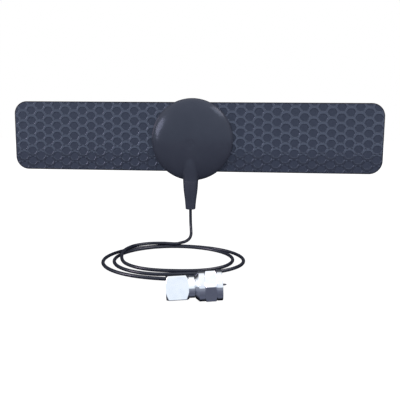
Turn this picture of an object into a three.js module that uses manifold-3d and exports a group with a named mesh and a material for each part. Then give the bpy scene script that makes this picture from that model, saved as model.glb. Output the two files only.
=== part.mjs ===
// Flat indoor television antenna: a thin two-element sheet with a round hub in its middle,
// a thin coaxial lead, and a right-angle F plug with a free coupling nut.
// Millimetres, +Z up. The origin is the middle of the hub's rear adhesive disc, which sticks
// to a wall or window: the wall is the plane y = 0 and the antenna stands out along -Y.
import * as THREE from 'three';
import { mergeVertices } from 'three/addons/utils/BufferGeometryUtils.js';
import Module from 'manifold-3d';

const wasm = await Module();
wasm.setup();

// ---------- driving dimensions ----------
const SHEET = { w: 200, h: 37.3, r: 7, cx: 1.1, cz: 1.3 };
const REAR_SKIN = { back: -2.65, front: -3.05 };
const FOIL = { back: -3.10, front: -3.25 };
const FRONT_SKIN = { back: -3.30, front: -3.75 };
const FOIL_MARGIN = 4;           // film beyond the foil's edge
const FOIL_GAP = 5;              // between the two elements at the feed point

const HUB_R = 22.0;
const HUB_WALL = 1.4;
const HUB_BACK = -2.65;          // rear edge of the front cover
const HUB_SHOULDER = -5.2;       // where the straight rim ends and the dome begins
const HUB_RISE = 7.3;            // dome height above the shoulder
const DOME_N = 2.1;              // superellipse exponent of the dome
const REAR_COVER = { r: 21.4, back: -0.8, front: -2.6 };
const HUB_TAPE = { r: 11.5, back: 0, front: -0.8 };
const WING_TAPE = { w: 24, h: 14, r: 3, dx: 80, back: 0, front: -2.6 };

const BOSS_AT = 10.5;            // hub screws at (+-BOSS_AT, +-BOSS_AT)
const BOSS_R = 2.1;
const RIVET_X = 8, RIVET_Z = 3;  // feed rivets

const PCB = { w: 26, h: 13, cz: 1.0, back: -4.8, front: -5.6 };

const LEAD_X = -0.45, LEAD_Y = -7.4;   // axis of the boot and of the lead's exit
const CORD_D = 1.6;
const BOOT_TOP = -22.2, BOOT_END = -37.9;

// lead on its resting plane, which is level with the lowest turn
const REST_Z = -55.99;
const COIL = { cx: -3.9, cy: -47.9, rIn: 19.6, rOut: 34.6, top: -52.77 };

// plug: x along the coupling axis from the elbow's face, y to the rear, z up
const PLUG_AT = [9.704, -108.355, -49.721];
const PLUG_AXIS = [0.9892, 0.1367, 0.0523];
const ELBOW = { len: 8.3, half: 4.4, bevel: 0.35, endR: 4.75, endCut: 1.0, roll: -13 };
const NECK = { r: 4.15, len: 2.2 };
const SPIGOT = { r: 3.1, end: 6.2 };
const NUT = { back: 2.5, hexBack: 5.8, hexFront: 10.1, front: 12.3, flats: 11.1, bore: 4.7 };

// ---------- helpers ----------
function welded(geometry) {
  const g = geometry.clone();
  for (const name of Object.keys(g.attributes)) if (name !== 'position') g.deleteAttribute(name);
  const m = mergeVertices(g, 1e-4);
  const src = m.index.array;
  const pos = m.attributes.position.array;
  const tri = [];
  for (let i = 0; i < src.length; i += 3) {
    const [a, b, c] = [src[i], src[i + 1], src[i + 2]];
    if (a !== b && b !== c && a !== c) tri.push(a, b, c);
  }
  let volume = 0;
  for (let i = 0; i < tri.length; i += 3) {
    const [a, b, c] = [tri[i] * 3, tri[i + 1] * 3, tri[i + 2] * 3];
    volume += pos[a] * (pos[b + 1] * pos[c + 2] - pos[b + 2] * pos[c + 1])
      - pos[a + 1] * (pos[b] * pos[c + 2] - pos[b + 2] * pos[c])
      + pos[a + 2] * (pos[b] * pos[c + 1] - pos[b + 1] * pos[c]);
  }
  if (volume < 0) for (let i = 0; i < tri.length; i += 3) [tri[i + 1], tri[i + 2]] = [tri[i + 2], tri[i + 1]];
  return { pos: new Float32Array(pos), tri: new Uint32Array(tri) };
}
const solid = (geometry) => {
  const w = welded(geometry);
  return new wasm.Manifold(new wasm.Mesh({ numProp: 3, vertProperties: w.pos, triVerts: w.tri }));
};
function geometryOf(body) {
  const m = body.getMesh();
  const n = m.numProp;
  const pos = new Float32Array(m.vertProperties.length / n * 3);
  for (let i = 0; i < pos.length / 3; i++) for (let k = 0; k < 3; k++) pos[3 * i + k] = m.vertProperties[n * i + k];
  const g = new THREE.BufferGeometry();
  g.setAttribute('position', new THREE.BufferAttribute(pos, 3));
  g.setIndex(new THREE.BufferAttribute(new Uint32Array(m.triVerts), 1));
  const flat = g.toNonIndexed();
  flat.computeVertexNormals();
  return flat;
}
// a flat outline in x and z, thickened from y = back to y = front (front < back)
function plate(shape, back, front, curveSegments = 8) {
  const g = new THREE.ExtrudeGeometry(shape, { depth: back - front, bevelEnabled: false, curveSegments });
  g.rotateX(Math.PI / 2);
  g.translate(0, back, 0);
  return g;
}
function roundedRect(w, h, r, cx = 0, cy = 0) {
  const s = new THREE.Shape();
  const [x0, x1, y0, y1] = [cx - w / 2, cx + w / 2, cy - h / 2, cy + h / 2];
  s.moveTo(x0 + r, y0);
  s.lineTo(x1 - r, y0); s.absarc(x1 - r, y0 + r, r, -Math.PI / 2, 0, false);
  s.lineTo(x1, y1 - r); s.absarc(x1 - r, y1 - r, r, 0, Math.PI / 2, false);
  s.lineTo(x0 + r, y1); s.absarc(x0 + r, y1 - r, r, Math.PI / 2, Math.PI, false);
  s.lineTo(x0, y0 + r); s.absarc(x0 + r, y0 + r, r, Math.PI, Math.PI * 1.5, false);
  return s;
}
function hole(shape, x, y, r) {
  const p = new THREE.Path();
  p.absarc(x, y, r, 0, Math.PI * 2, true);
  shape.holes.push(p);
}
const pts = (list) => list.map(([r, y]) => new THREE.Vector2(r, y));
// turned about the y direction, profile in (radius, y)
const turnY = (profile, seg = 32, x = 0, z = 0) => {
  const g = new THREE.LatheGeometry(pts(profile), seg);
  g.translate(x, 0, z);
  return g;
};
// turned about the z direction, profile in (radius, z)
const turnZ = (profile, seg = 24, x = 0, y = 0) => {
  const g = new THREE.LatheGeometry(pts(profile), seg);
  g.rotateX(Math.PI / 2);
  g.translate(x, y, 0);
  return g;
};
// turned about the x direction, profile in (radius, x)
const turnX = (profile, seg = 32) => {
  const g = new THREE.LatheGeometry(pts(profile), seg);
  g.rotateZ(-Math.PI / 2);
  return g;
};
const box = (x0, x1, y0, y1, z0, z1) => {
  const g = new THREE.BoxGeometry(x1 - x0, y1 - y0, z1 - z0);
  g.translate((x0 + x1) / 2, (y0 + y1) / 2, (z0 + z1) / 2);
  return g;
};
function round(r, sides = 8) {
  const s = new THREE.Shape();
  for (let i = 0; i < sides; i++) {
    const a = (i + 0.5) / sides * Math.PI * 2;
    const k = r / Math.cos(Math.PI / sides) * 0.985;
    if (i === 0) s.moveTo(k * Math.cos(a), k * Math.sin(a)); else s.lineTo(k * Math.cos(a), k * Math.sin(a));
  }
  return s;
}
function tube(points, r, steps, sides = 8) {
  const path = new THREE.CatmullRomCurve3(points.map((p) => new THREE.Vector3(...p)), false, 'centripetal');
  return new THREE.ExtrudeGeometry(round(r, sides), { steps, bevelEnabled: false, extrudePath: path });
}
const finish = {
  skin: { color: 0x3a4254, roughness: 0.32, metalness: 0.0 },
  foil: { color: 0xb9bcc0, roughness: 0.35, metalness: 1.0 },
  shell: { color: 0x343846, roughness: 0.3, metalness: 0.0 },
  pad: { color: 0xd9dcdf, roughness: 0.9, metalness: 0.0 },
  board: { color: 0x24603a, roughness: 0.5, metalness: 0.0 },
  brass: { color: 0xb59a55, roughness: 0.35, metalness: 1.0 },
  ferrite: { color: 0x26272a, roughness: 0.75, metalness: 0.0 },
  copper: { color: 0xb0663a, roughness: 0.35, metalness: 1.0 },
  chip: { color: 0x8c7a62, roughness: 0.55, metalness: 0.0 },
  steel: { color: 0x9fa3a8, roughness: 0.3, metalness: 1.0 },
  tinned: { color: 0xc4c7ca, roughness: 0.3, metalness: 1.0 },
  rubber: { color: 0x2c2f3a, roughness: 0.5, metalness: 0.0 },
  jacket: { color: 0x23262e, roughness: 0.4, metalness: 0.0 },
  nickel: { color: 0xd6dae2, roughness: 0.12, metalness: 1.0 },
  insulator: { color: 0xf0efe9, roughness: 0.5, metalness: 0.0 },
};
const antenna = new THREE.Group();
antenna.name = 'flat_antenna';
function add(name, geometry, look, parent = antenna) {
  const mesh = new THREE.Mesh(geometry, new THREE.MeshStandardMaterial(finish[look]));
  mesh.name = name;
  parent.add(mesh);
  return mesh;
}
const plain = (geometry) => geometryOf(solid(geometry));

// ---------- the sheet: film, foil, film ----------
const screwAt = [[-BOSS_AT, BOSS_AT], [BOSS_AT, BOSS_AT], [-BOSS_AT, -BOSS_AT], [BOSS_AT, -BOSS_AT]];
const rivetAt = [[-RIVET_X, RIVET_Z], [RIVET_X, RIVET_Z]];
function film() {
  const s = roundedRect(SHEET.w, SHEET.h, SHEET.r, SHEET.cx, SHEET.cz);
  for (const [x, z] of screwAt) hole(s, x, z, 1.6);
  for (const [x, z] of rivetAt) hole(s, x, z, 1.25);
  return s;
}
add('front_skin', plain(plate(film(), FRONT_SKIN.back, FRONT_SKIN.front)), 'skin');
add('rear_skin', plain(plate(film(), REAR_SKIN.back, REAR_SKIN.front)), 'skin');

// each element is a wide strip of foil with a narrow neck that reaches its feed rivet
function foil(side) {
  const far = SHEET.cx + side * (SHEET.w / 2 - FOIL_MARGIN);
  const halfH = SHEET.h / 2 - FOIL_MARGIN;
  const z0 = SHEET.cz - halfH, z1 = SHEET.cz + halfH;
  const near = side * FOIL_GAP / 2;
  const outline = [
    [near, RIVET_Z - 4], [side * 13.5, RIVET_Z - 6], [side * 19, z0], [far - side * 3, z0], [far, z0 + 3],
    [far, z1 - 3], [far - side * 3, z1], [side * 19, z1], [side * 13.5, RIVET_Z + 5], [near, RIVET_Z + 4]];
  if (side < 0) outline.reverse();
  const s = new THREE.Shape(outline.map(([x, z]) => new THREE.Vector2(x, z)));
  hole(s, side * RIVET_X, RIVET_Z, 1.25);
  return plate(s, FOIL.back, FOIL.front);
}
add('element_left', plain(foil(-1)), 'foil');
add('element_right', plain(foil(1)), 'foil');

// ---------- the hub's shells ----------
function domeProfile(r, base, rise, back) {
  const list = [];
  const n = 10;
  for (let i = 0; i <= n; i++) {
    const a = (i / n) * Math.PI / 2;
    const u = Math.sin(a) ** (2 / DOME_N);
    const v = Math.cos(a) ** (2 / DOME_N);
    list.push([i === 0 ? 0 : r * u, base - rise * (i === n ? 0 : v)]);
  }
  list.push([r, back], [0, back]);
  return list;
}
const leadTurn = (profile, seg = 24) => turnZ(profile, seg, LEAD_X, LEAD_Y);
const domeOuter = solid(turnY(domeProfile(HUB_R, HUB_SHOULDER, HUB_RISE, HUB_BACK), 48));
const domeInner = solid(turnY(domeProfile(HUB_R - HUB_WALL, HUB_SHOULDER, HUB_RISE - HUB_WALL, HUB_BACK + 1), 36));
// the half-round housing for the boot's collar, running out of the dome to the lower rim
const fairing = solid(leadTurn([[0, -8], [3.6, -8.4], [4.45, -11.5], [4.4, -16], [4.11, -22.1], [0, -22.1]], 32));
const behind = solid(box(-40, 40, HUB_BACK, 10, -40, 40));
let frontCover = domeOuter.add(fairing.subtract(behind));
const fairingCore = solid(leadTurn([[0, -8], [3.1, -8.4], [3.1, -20.6], [0, -20.6]], 24));
frontCover = frontCover.subtract(domeInner).subtract(fairingCore);
for (const [x, z] of screwAt) {
  frontCover = frontCover.add(solid(turnY([[0, -2.9], [BOSS_R, -2.9], [BOSS_R, -10.8], [0, -10.8]], 16, x, z)).intersect(domeOuter));
}
for (const [x, z] of screwAt) {
  frontCover = frontCover.subtract(solid(turnY([[0, -2], [1.25, -2], [1.25, -8.9], [0, -8.9]], 12, x, z)));
}
// slot over the sheet, and the open-backed slots that drop over the boot's collar and neck
frontCover = frontCover
  .subtract(solid(box(-40, 40, -3.80, 5, SHEET.cz - SHEET.h / 2 - 0.3, SHEET.cz + SHEET.h / 2 + 0.3)))
  .subtract(solid(box(LEAD_X - 3.1, LEAD_X + 3.1, LEAD_Y, 5, -20.6, -10)))
  .subtract(solid(box(LEAD_X - 2.6, LEAD_X + 2.6, LEAD_Y, 5, -30, -20)))
  .subtract(solid(leadTurn([[0, -20], [2.6, -20], [2.6, -23], [0, -23]], 24)));
add('hub_front_cover', geometryOf(frontCover), 'shell');

let rearCover = solid(turnY([
  [0, REAR_COVER.front + 0.7], [12.6, REAR_COVER.front + 0.7], [12.6, REAR_COVER.front],
  [REAR_COVER.r, REAR_COVER.front], [REAR_COVER.r, REAR_COVER.back - 0.5],
  [REAR_COVER.r - 0.5, REAR_COVER.back], [0, REAR_COVER.back]], 48));
for (const [x, z] of screwAt) {
  rearCover = rearCover.subtract(solid(turnY([[0, 0], [2.2, 0], [2.2, -0.85], [1.3, -1.7], [1.3, -4], [0, -4]], 16, x, z)));
}
add('hub_rear_cover', geometryOf(rearCover), 'shell');

screwAt.forEach(([x, z], i) => {
  const body = solid(turnY([[0, -0.88], [1.85, -0.88], [1.85, -1.0], [0.95, -1.85], [0.95, -7.7], [0.3, -8.5], [0, -8.5]], 14, x, z));
  const cross = solid(box(x - 0.95, x + 0.95, -1.4, 0, z - 0.17, z + 0.17))
    .add(solid(box(x - 0.17, x + 0.17, -1.4, 0, z - 0.95, z + 0.95)));
  add(`hub_screw_${i + 1}`, geometryOf(body.subtract(cross)), 'steel');
});

// ---------- double-sided adhesive tape ----------
add('hub_adhesive_disc', plain(turnY([[0, HUB_TAPE.front], [HUB_TAPE.r, HUB_TAPE.front], [HUB_TAPE.r, HUB_TAPE.back], [0, HUB_TAPE.back]], 40)), 'pad');
add('left_adhesive_strip', plain(plate(roundedRect(WING_TAPE.w, WING_TAPE.h, WING_TAPE.r, SHEET.cx - WING_TAPE.dx, SHEET.cz), WING_TAPE.back, WING_TAPE.front, 5)), 'pad');
add('right_adhesive_strip', plain(plate(roundedRect(WING_TAPE.w, WING_TAPE.h, WING_TAPE.r, SHEET.cx + WING_TAPE.dx, SHEET.cz), WING_TAPE.back, WING_TAPE.front, 5)), 'pad');

// ---------- the matching board and what is on it ----------
const boardShape = roundedRect(PCB.w, PCB.h, 0.8, 0, PCB.cz);
for (const [x, z] of rivetAt) hole(boardShape, x, z, 1.25);
add('matching_board', plain(plate(boardShape, PCB.back, PCB.front, 4)), 'board');
rivetAt.forEach(([x, z], i) => {
  const side = i === 0 ? 'left' : 'right';
  add(`feed_rivet_${side}`, plain(turnY([
    [0.45, -2.2], [1.8, -2.2], [1.8, -2.6], [0.95, -2.6], [0.95, -5.65], [1.7, -5.65], [1.7, -6.0], [0.45, -6.0], [0.45, -2.2]], 20, x, z)), 'brass');
  add(`feed_washer_${side}`, plain(turnY([
    [1.3, -3.8], [2.3, -3.8], [2.3, -4.75], [1.3, -4.75], [1.3, -3.8]], 20, x, z)), 'tinned');
});
const CORE = { x: 2.6, back: -5.66, front: -8.3, z0: 0.6, z1: 4.6, hx: 1.25, hy: -6.98 };
let core = solid(box(-CORE.x, CORE.x, CORE.front, CORE.back, CORE.z0, CORE.z1));
for (const s of [-1, 1]) core = core.subtract(solid(turnZ([[0, -5], [0.8, -5], [0.8, 10], [0, 10]], 16, s * CORE.hx, CORE.hy)));
add('balun_core', geometryOf(core), 'ferrite');
const hairpin = (y, zOpen, zTurn) => tube([
  [-CORE.hx, y, zOpen], [-CORE.hx, y, (zOpen + zTurn) / 2], [-CORE.hx, y, zTurn - Math.sign(zTurn - zOpen) * 0.5],
  [-CORE.hx + 0.5, y, zTurn], [CORE.hx - 0.5, y, zTurn], [CORE.hx, y, zTurn - Math.sign(zTurn - zOpen) * 0.5],
  [CORE.hx, y, (zOpen + zTurn) / 2], [CORE.hx, y, zOpen]], 0.19, 26, 6);
add('balun_primary', plain(hairpin(CORE.hy + 0.32, 0.1, 5.3)), 'copper');
add('balun_secondary', plain(hairpin(CORE.hy - 0.32, 5.1, -0.1)), 'copper');
add('matching_capacitor_left', plain(box(-6.4, -4.8, -6.45, -5.64, -1.4, -0.6)), 'chip');
add('matching_capacitor_right', plain(box(4.8, 6.4, -6.45, -5.64, -1.4, -0.6)), 'chip');
add('static_bleed_resistor', plain(box(4.8, 6.4, -6.15, -5.64, -3.6, -2.8)), 'ferrite');

// ---------- lead inside the hub ----------
const HUB_LEAD_Y = -6.55;
add('cable_lead_in', plain(tube([
  [LEAD_X, LEAD_Y, BOOT_END + 0.2], [LEAD_X, LEAD_Y, -31], [LEAD_X, LEAD_Y, -24], [LEAD_X, LEAD_Y, -17.5],
  [LEAD_X, LEAD_Y + 0.3, -13], [LEAD_X, HUB_LEAD_Y - 0.15, -9.5], [LEAD_X, HUB_LEAD_Y, -6.5], [LEAD_X, HUB_LEAD_Y, -3.2]],
  CORD_D / 2, 14, 10)), 'jacket');
add('cable_core_hub_end', plain(turnZ([[0, -2.9], [0.42, -2.9], [0.42, -1.6], [0.17, -1.6], [0.17, -0.55], [0, -0.55]], 12, LEAD_X, HUB_LEAD_Y)), 'insulator');
// a strap over the lead, its feet on the board
function strap() {
  const s = new THREE.Shape();
  const [ri, ro, base, foot, y] = [1.1, 1.4, -5.64, 2.9, HUB_LEAD_Y];
  s.moveTo(LEAD_X - foot, base);
  s.lineTo(LEAD_X - foot, base - 0.3);
  s.lineTo(LEAD_X - ro, base - 0.3);
  s.lineTo(LEAD_X - ro, y);
  s.absarc(LEAD_X, y, ro, Math.PI, Math.PI * 2, false);
  s.lineTo(LEAD_X + ro, base - 0.3);
  s.lineTo(LEAD_X + foot, base - 0.3);
  s.lineTo(LEAD_X + foot, base);
  s.lineTo(LEAD_X + ri, base);
  s.lineTo(LEAD_X + ri, y);
  s.absarc(LEAD_X, y, ri, Math.PI * 2, Math.PI, true);
  s.lineTo(LEAD_X - ri, base);
  const g = new THREE.ExtrudeGeometry(s, { depth: 1.3, bevelEnabled: false, curveSegments: 8 });
  g.translate(0, 0, -5.2);
  return g;
}
add('braid_clamp', plain(strap()), 'tinned');

// ---------- boot ----------
let boot = solid(leadTurn([
  [0, -17.4], [1.5, -17.4], [1.8, -18.8], [2.75, -18.8], [2.75, -20.3], [2.3, -20.3], [2.3, BOOT_TOP],
  [4.1, BOOT_TOP], [3.98, -24.2], [3.86, -26.3], [3.5, -29.4], [3.04, -32.8], [2.75, -35.2], [2.56, -37.2], [2.42, BOOT_END], [0, BOOT_END]], 28));
boot = boot.add(solid(box(LEAD_X - 2.3, LEAD_X + 2.3, LEAD_Y, -2.95, BOOT_TOP + 0.05, -20.95)));
boot = boot.subtract(solid(leadTurn([[0, -10], [1.12, -10], [1.12, -45], [0, -45]], 12)));
boot = boot.subtract(solid(box(-40, 40, -4.05, 5, -20.9, 0)));
add('cable_boot', geometryOf(boot), 'rubber');

// ---------- free lead ----------
add('cord_drop', plain(tube([
  [LEAD_X, LEAD_Y, BOOT_END - 0.3], [LEAD_X + 0.04, -7.45, -41.6], [-0.3, -7.9, -45.9],
  [-0.05, -9.2, -49.0], [0.05, -10.9, -50.65], [0.0, -12.2, -51.5]], CORD_D / 2, 6, 8)), 'jacket');
function coilRing() {
  const { rIn, rOut, top, cx, cy } = COIL;
  const b = REST_Z, c = 0.9;
  return turnZ([
    [rIn + c, b], [rOut - c, b], [rOut, b + c], [rOut, top - c], [rOut - c, top],
    [rIn + c, top], [rIn, top - c], [rIn, b + c], [rIn + c, b]], 48, cx, cy);
}
add('cord_coil', plain(coilRing()), 'jacket');

// ---------- right-angle F plug ----------
const plug = new THREE.Group();
plug.name = 'plug';
const axisU = new THREE.Vector3(...PLUG_AXIS).normalize();
const axisV = new THREE.Vector3(-axisU.y, axisU.x, 0).normalize();
const axisW = new THREE.Vector3().crossVectors(axisU, axisV);
plug.quaternion.setFromRotationMatrix(new THREE.Matrix4().makeBasis(axisU, axisV, axisW));
plug.position.set(...PLUG_AT);
antenna.add(plug);

// the elbow is turned a little about the coupling axis, so the lead leaves it sloping down
const elbowGroup = new THREE.Group();
elbowGroup.name = 'elbow';
elbowGroup.rotation.x = THREE.MathUtils.degToRad(ELBOW.roll);
plug.add(elbowGroup);

// square bar with eased long edges and corners turned off at both ends
function elbow() {
  const { len, half, bevel: b, endR, endCut } = ELBOW;
  const s = new THREE.Shape();
  s.moveTo(-half + b, -half); s.lineTo(half - b, -half); s.lineTo(half, -half + b); s.lineTo(half, half - b);
  s.lineTo(half - b, half); s.lineTo(-half + b, half); s.lineTo(-half, half - b); s.lineTo(-half, -half + b);
  const g = new THREE.ExtrudeGeometry(s, { depth: len, bevelEnabled: false });
  g.rotateY(Math.PI / 2);
  g.translate(-len, 0, 0);
  const full = half * Math.SQRT2 + 0.1;
  return solid(g).intersect(solid(turnX([
    [0, -len - 0.5], [endR - 0.5 * (full - endR) / endCut, -len - 0.5], [full, -len + endCut],
    [full, -endCut], [endR - 0.5 * (full - endR) / endCut, 0.5], [0, 0.5]], 48)));
}
let elbowBody = elbow()
  .add(solid(turnX([[0, -2], [NECK.r, -2], [NECK.r, NECK.len], [SPIGOT.r, NECK.len], [SPIGOT.r, 4.3], [2.5, 4.3], [2.5, 5.15],
    [SPIGOT.r, 5.15], [SPIGOT.r, SPIGOT.end - 0.3], [SPIGOT.r - 0.3, SPIGOT.end], [0, SPIGOT.end]], 32)))
  .subtract(solid(turnX([[0, -8.8], [3.0, -8.8], [3.0, -7.1], [2.4, -7.1], [2.4, -1.6], [2.0, -1.6], [2.0, 7], [0, 7]], 24)))
  .subtract(solid(turnY([[0, 0], [1.95, 0], [1.95, 6], [0, 6]], 20, -ELBOW.len / 2, 0)));
add('elbow_body', geometryOf(elbowBody), 'nickel', elbowGroup);
add('elbow_cap', plain(turnX([[0, -8.05], [2.4, -8.05], [2.65, -7.8], [2.65, -7.3], [0, -7.3]], 24)), 'nickel', elbowGroup);
add('crimp_ferrule', plain(turnY([[1.12, 2.5], [1.62, 2.5], [1.62, 4.35], [1.95, 4.5], [1.95, 8.3], [1.75, 8.6], [1.12, 8.6], [1.12, 2.5]], 20, -ELBOW.len / 2, 0)), 'nickel', elbowGroup);
add('plug_insulator', plain(turnX([[0.68, -1.3], [1.7, -1.3], [1.7, SPIGOT.end], [0.68, SPIGOT.end], [0.68, -1.3]], 20)), 'insulator', plug);
add('centre_pin', plain(turnX([[0, -5.1], [0.6, -5.1], [0.6, -2.2], [0.35, -2.0], [0.35, 13.3], [0.12, 14.0], [0, 14.0]], 14)), 'nickel', plug);
add('cable_core_plug_end', plain(turnY([[0, 0.95], [0.17, 0.95], [0.17, 2.0], [0.42, 2.0], [0.42, 4.3], [0, 4.3]], 12, -ELBOW.len / 2, 0)), 'insulator', elbowGroup);

// split ring in the spigot's groove, which keeps the nut on
function snapRing() {
  const s = new THREE.Shape();
  const [ro, ri, open] = [4.15, 2.8, 0.35];
  s.absarc(0, 0, ro, open, Math.PI * 2 - open, false);
  s.absarc(0, 0, ri, Math.PI * 2 - open, open, true);
  const g = new THREE.ExtrudeGeometry(s, { depth: 0.5, bevelEnabled: false, curveSegments: 24 });
  g.rotateY(Math.PI / 2);
  g.translate(4.45, 0, 0);
  return g;
}
add('snap_ring', plain(snapRing()), 'steel', plug);

// hexagon with turned-off corners, a round skirt behind it and a plain ring in front
const CORNER = NUT.flats / Math.sqrt(3);
function hexBar() {
  const s = new THREE.Shape();
  for (let i = 0; i < 6; i++) {
    const a = i * Math.PI / 3;
    if (i === 0) s.moveTo(CORNER * Math.cos(a), CORNER * Math.sin(a)); else s.lineTo(CORNER * Math.cos(a), CORNER * Math.sin(a));
  }
  const g = new THREE.ExtrudeGeometry(s, { depth: NUT.hexFront - NUT.hexBack, bevelEnabled: false });
  g.rotateY(Math.PI / 2);
  g.rotateX(THREE.MathUtils.degToRad(180 + 90 - 11));
  g.translate(NUT.hexBack, 0, 0);
  return g;
}
const nut = solid(hexBar())
  .intersect(solid(turnX([[0, NUT.hexBack - 1], [5.65, NUT.hexBack - 1], [5.65, NUT.hexBack], [6.4, NUT.hexBack + 0.5], [6.4, NUT.hexFront - 0.5], [5.65, NUT.hexFront], [5.65, NUT.hexFront + 1], [0, NUT.hexFront + 1]], 40)))
  .add(solid(turnX([[0, NUT.back], [4.3, NUT.back], [5.65, NUT.back + 1.35], [5.65, NUT.hexBack], [5.4, NUT.hexBack + 0.3], [0, NUT.hexBack + 0.3]], 40)))
  .add(solid(turnX([[0, NUT.hexFront - 0.3], [5.4, NUT.hexFront - 0.3], [5.7, NUT.hexFront], [5.7, NUT.front - 0.25], [5.45, NUT.front], [0, NUT.front]], 40)))
  .subtract(solid(turnX([[0, 1], [3.4, 1], [3.4, 4.1], [NUT.bore, 4.1], [NUT.bore, NUT.front + 1], [0, NUT.front + 1]], 32)));
add('coupling_nut', geometryOf(nut), 'nickel', plug);

// last stretch of the lead, from the coil up into the ferrule
const ferruleEnd = new THREE.Vector3(-ELBOW.len / 2, 8.6, 0);
const along = (d) => ferruleEnd.clone().add(new THREE.Vector3(0, d, 0)).applyEuler(elbowGroup.rotation)
  .applyQuaternion(plug.quaternion).add(plug.position).toArray();
const rest = REST_Z + CORD_D / 2;
add('cord_tail', plain(tube([
  [1.75, -83.45, rest + 0.03], [2.72, -86.6, rest + 0.28],
  along(9.6), along(6.6), along(3.6), along(1.0), along(-2.0), along(-4.0)], CORD_D / 2, 12, 8)), 'jacket');

export default antenna;
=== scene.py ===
import math

import bmesh
import bpy
import numpy as np
from mathutils import Matrix, Vector, geometry


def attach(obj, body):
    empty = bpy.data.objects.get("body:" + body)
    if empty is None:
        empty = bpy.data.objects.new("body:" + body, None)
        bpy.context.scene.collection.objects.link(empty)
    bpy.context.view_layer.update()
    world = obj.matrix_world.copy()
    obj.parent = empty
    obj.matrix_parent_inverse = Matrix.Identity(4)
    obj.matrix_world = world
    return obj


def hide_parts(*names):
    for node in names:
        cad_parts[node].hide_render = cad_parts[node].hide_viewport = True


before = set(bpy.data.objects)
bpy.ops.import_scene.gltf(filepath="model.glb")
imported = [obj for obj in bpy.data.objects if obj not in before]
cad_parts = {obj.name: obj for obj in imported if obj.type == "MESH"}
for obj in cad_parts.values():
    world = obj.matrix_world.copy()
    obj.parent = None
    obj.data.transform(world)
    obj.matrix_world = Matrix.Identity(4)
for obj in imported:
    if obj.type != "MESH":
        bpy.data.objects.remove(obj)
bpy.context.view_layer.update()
MM = 0.001
scene = bpy.context.scene

# ------------------------------------------------------------------ camera
AZ, EL, ROLL, DIST = math.radians(5.01), math.radians(8.42), math.radians(0.44), 308.71 * MM
TARGET = Vector((4.33, 0.0, -33.82)) * MM
back = Vector((math.sin(AZ) * math.cos(EL), -math.cos(AZ) * math.cos(EL), math.sin(EL)))
right = Vector((math.cos(AZ), math.sin(AZ), 0.0))
up = back.cross(right)
cam_x = right * math.cos(ROLL) + up * math.sin(ROLL)
cam_y = -right * math.sin(ROLL) + up * math.cos(ROLL)
cam_data = bpy.data.cameras.new("camera")
cam_data.lens, cam_data.sensor_width = 50.0, 36.0
cam_data.shift_x, cam_data.shift_y = -0.00125, 0.00125
cam_data.clip_start, cam_data.clip_end = 0.005, 50.0
cam = bpy.data.objects.new("camera", cam_data)
scene.collection.objects.link(cam)
pos = TARGET + back * DIST
cam.matrix_world = Matrix((
    (cam_x.x, cam_y.x, back.x, pos.x),
    (cam_x.y, cam_y.y, back.y, pos.y),
    (cam_x.z, cam_y.z, back.z, pos.z),
    (0, 0, 0, 1)))
scene.camera = cam


# ------------------------------------------------------------------ colour and material helpers
def lin(*rgb):
    out = []
    for c in rgb:
        c = c / 255.0
        out.append(c / 12.92 if c <= 0.04045 else ((c + 0.055) / 1.055) ** 2.4)
    return (*out, 1.0)


def mixed(a, b, t):
    return tuple(x + (y - x) * t for x, y in zip(a, b))


class Nodes:
    """A small wrapper that adds nodes to one material and joins them."""

    def __init__(self, name):
        self.mat = bpy.data.materials.new(name)
        self.mat.use_nodes = True
        self.tree = self.mat.node_tree
        self.tree.nodes.clear()
        self.out = self.add("ShaderNodeOutputMaterial")
        self.bsdf = self.add("ShaderNodeBsdfPrincipled")
        self.link(self.bsdf, "BSDF", self.out, "Surface")
        self.coord = self.add("ShaderNodeTexCoord")

    def add(self, kind, **props):
        n = self.tree.nodes.new(kind)
        for k, v in props.items():
            setattr(n, k, v)
        return n

    def link(self, a, out, b, inp):
        self.tree.links.new(a.outputs[out], b.inputs[inp])

    def put(self, **values):
        for k, v in values.items():
            self.bsdf.inputs[k.replace("_", " ")].default_value = v

    def noise(self, scale, detail=3.0, rough=0.55, stretch=None):
        n = self.add("ShaderNodeTexNoise")
        n.inputs["Scale"].default_value = scale
        n.inputs["Detail"].default_value = detail
        n.inputs["Roughness"].default_value = rough
        if stretch is None:
            self.link(self.coord, "Object", n, "Vector")
        else:
            m = self.add("ShaderNodeMapping")
            m.inputs["Scale"].default_value = stretch
            self.link(self.coord, "Object", m, "Vector")
            self.link(m, "Vector", n, "Vector")
        return n

    def ramp(self, source, out, stops):
        r = self.add("ShaderNodeValToRGB")
        while len(r.color_ramp.elements) > 1:
            r.color_ramp.elements.remove(r.color_ramp.elements[-1])
        first = r.color_ramp.elements[0]
        first.position, first.color = stops[0]
        for p, c in stops[1:]:
            e = r.color_ramp.elements.new(p)
            e.color = c
        self.link(source, out, r, "Fac")
        return r

    def remap(self, source, out, lo, hi, a=0.3, b=0.7):
        m = self.add("ShaderNodeMapRange")
        m.inputs["From Min"].default_value, m.inputs["From Max"].default_value = a, b
        m.inputs["To Min"].default_value, m.inputs["To Max"].default_value = lo, hi
        self.link(source, out, m, "Value")
        return m

    def bump(self, source, out, strength, distance, normal=None):
        b = self.add("ShaderNodeBump")
        b.inputs["Strength"].default_value = strength
        b.inputs["Distance"].default_value = distance
        self.link(source, out, b, "Height")
        if normal is not None:
            self.link(normal, "Normal", b, "Normal")
        return b


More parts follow.
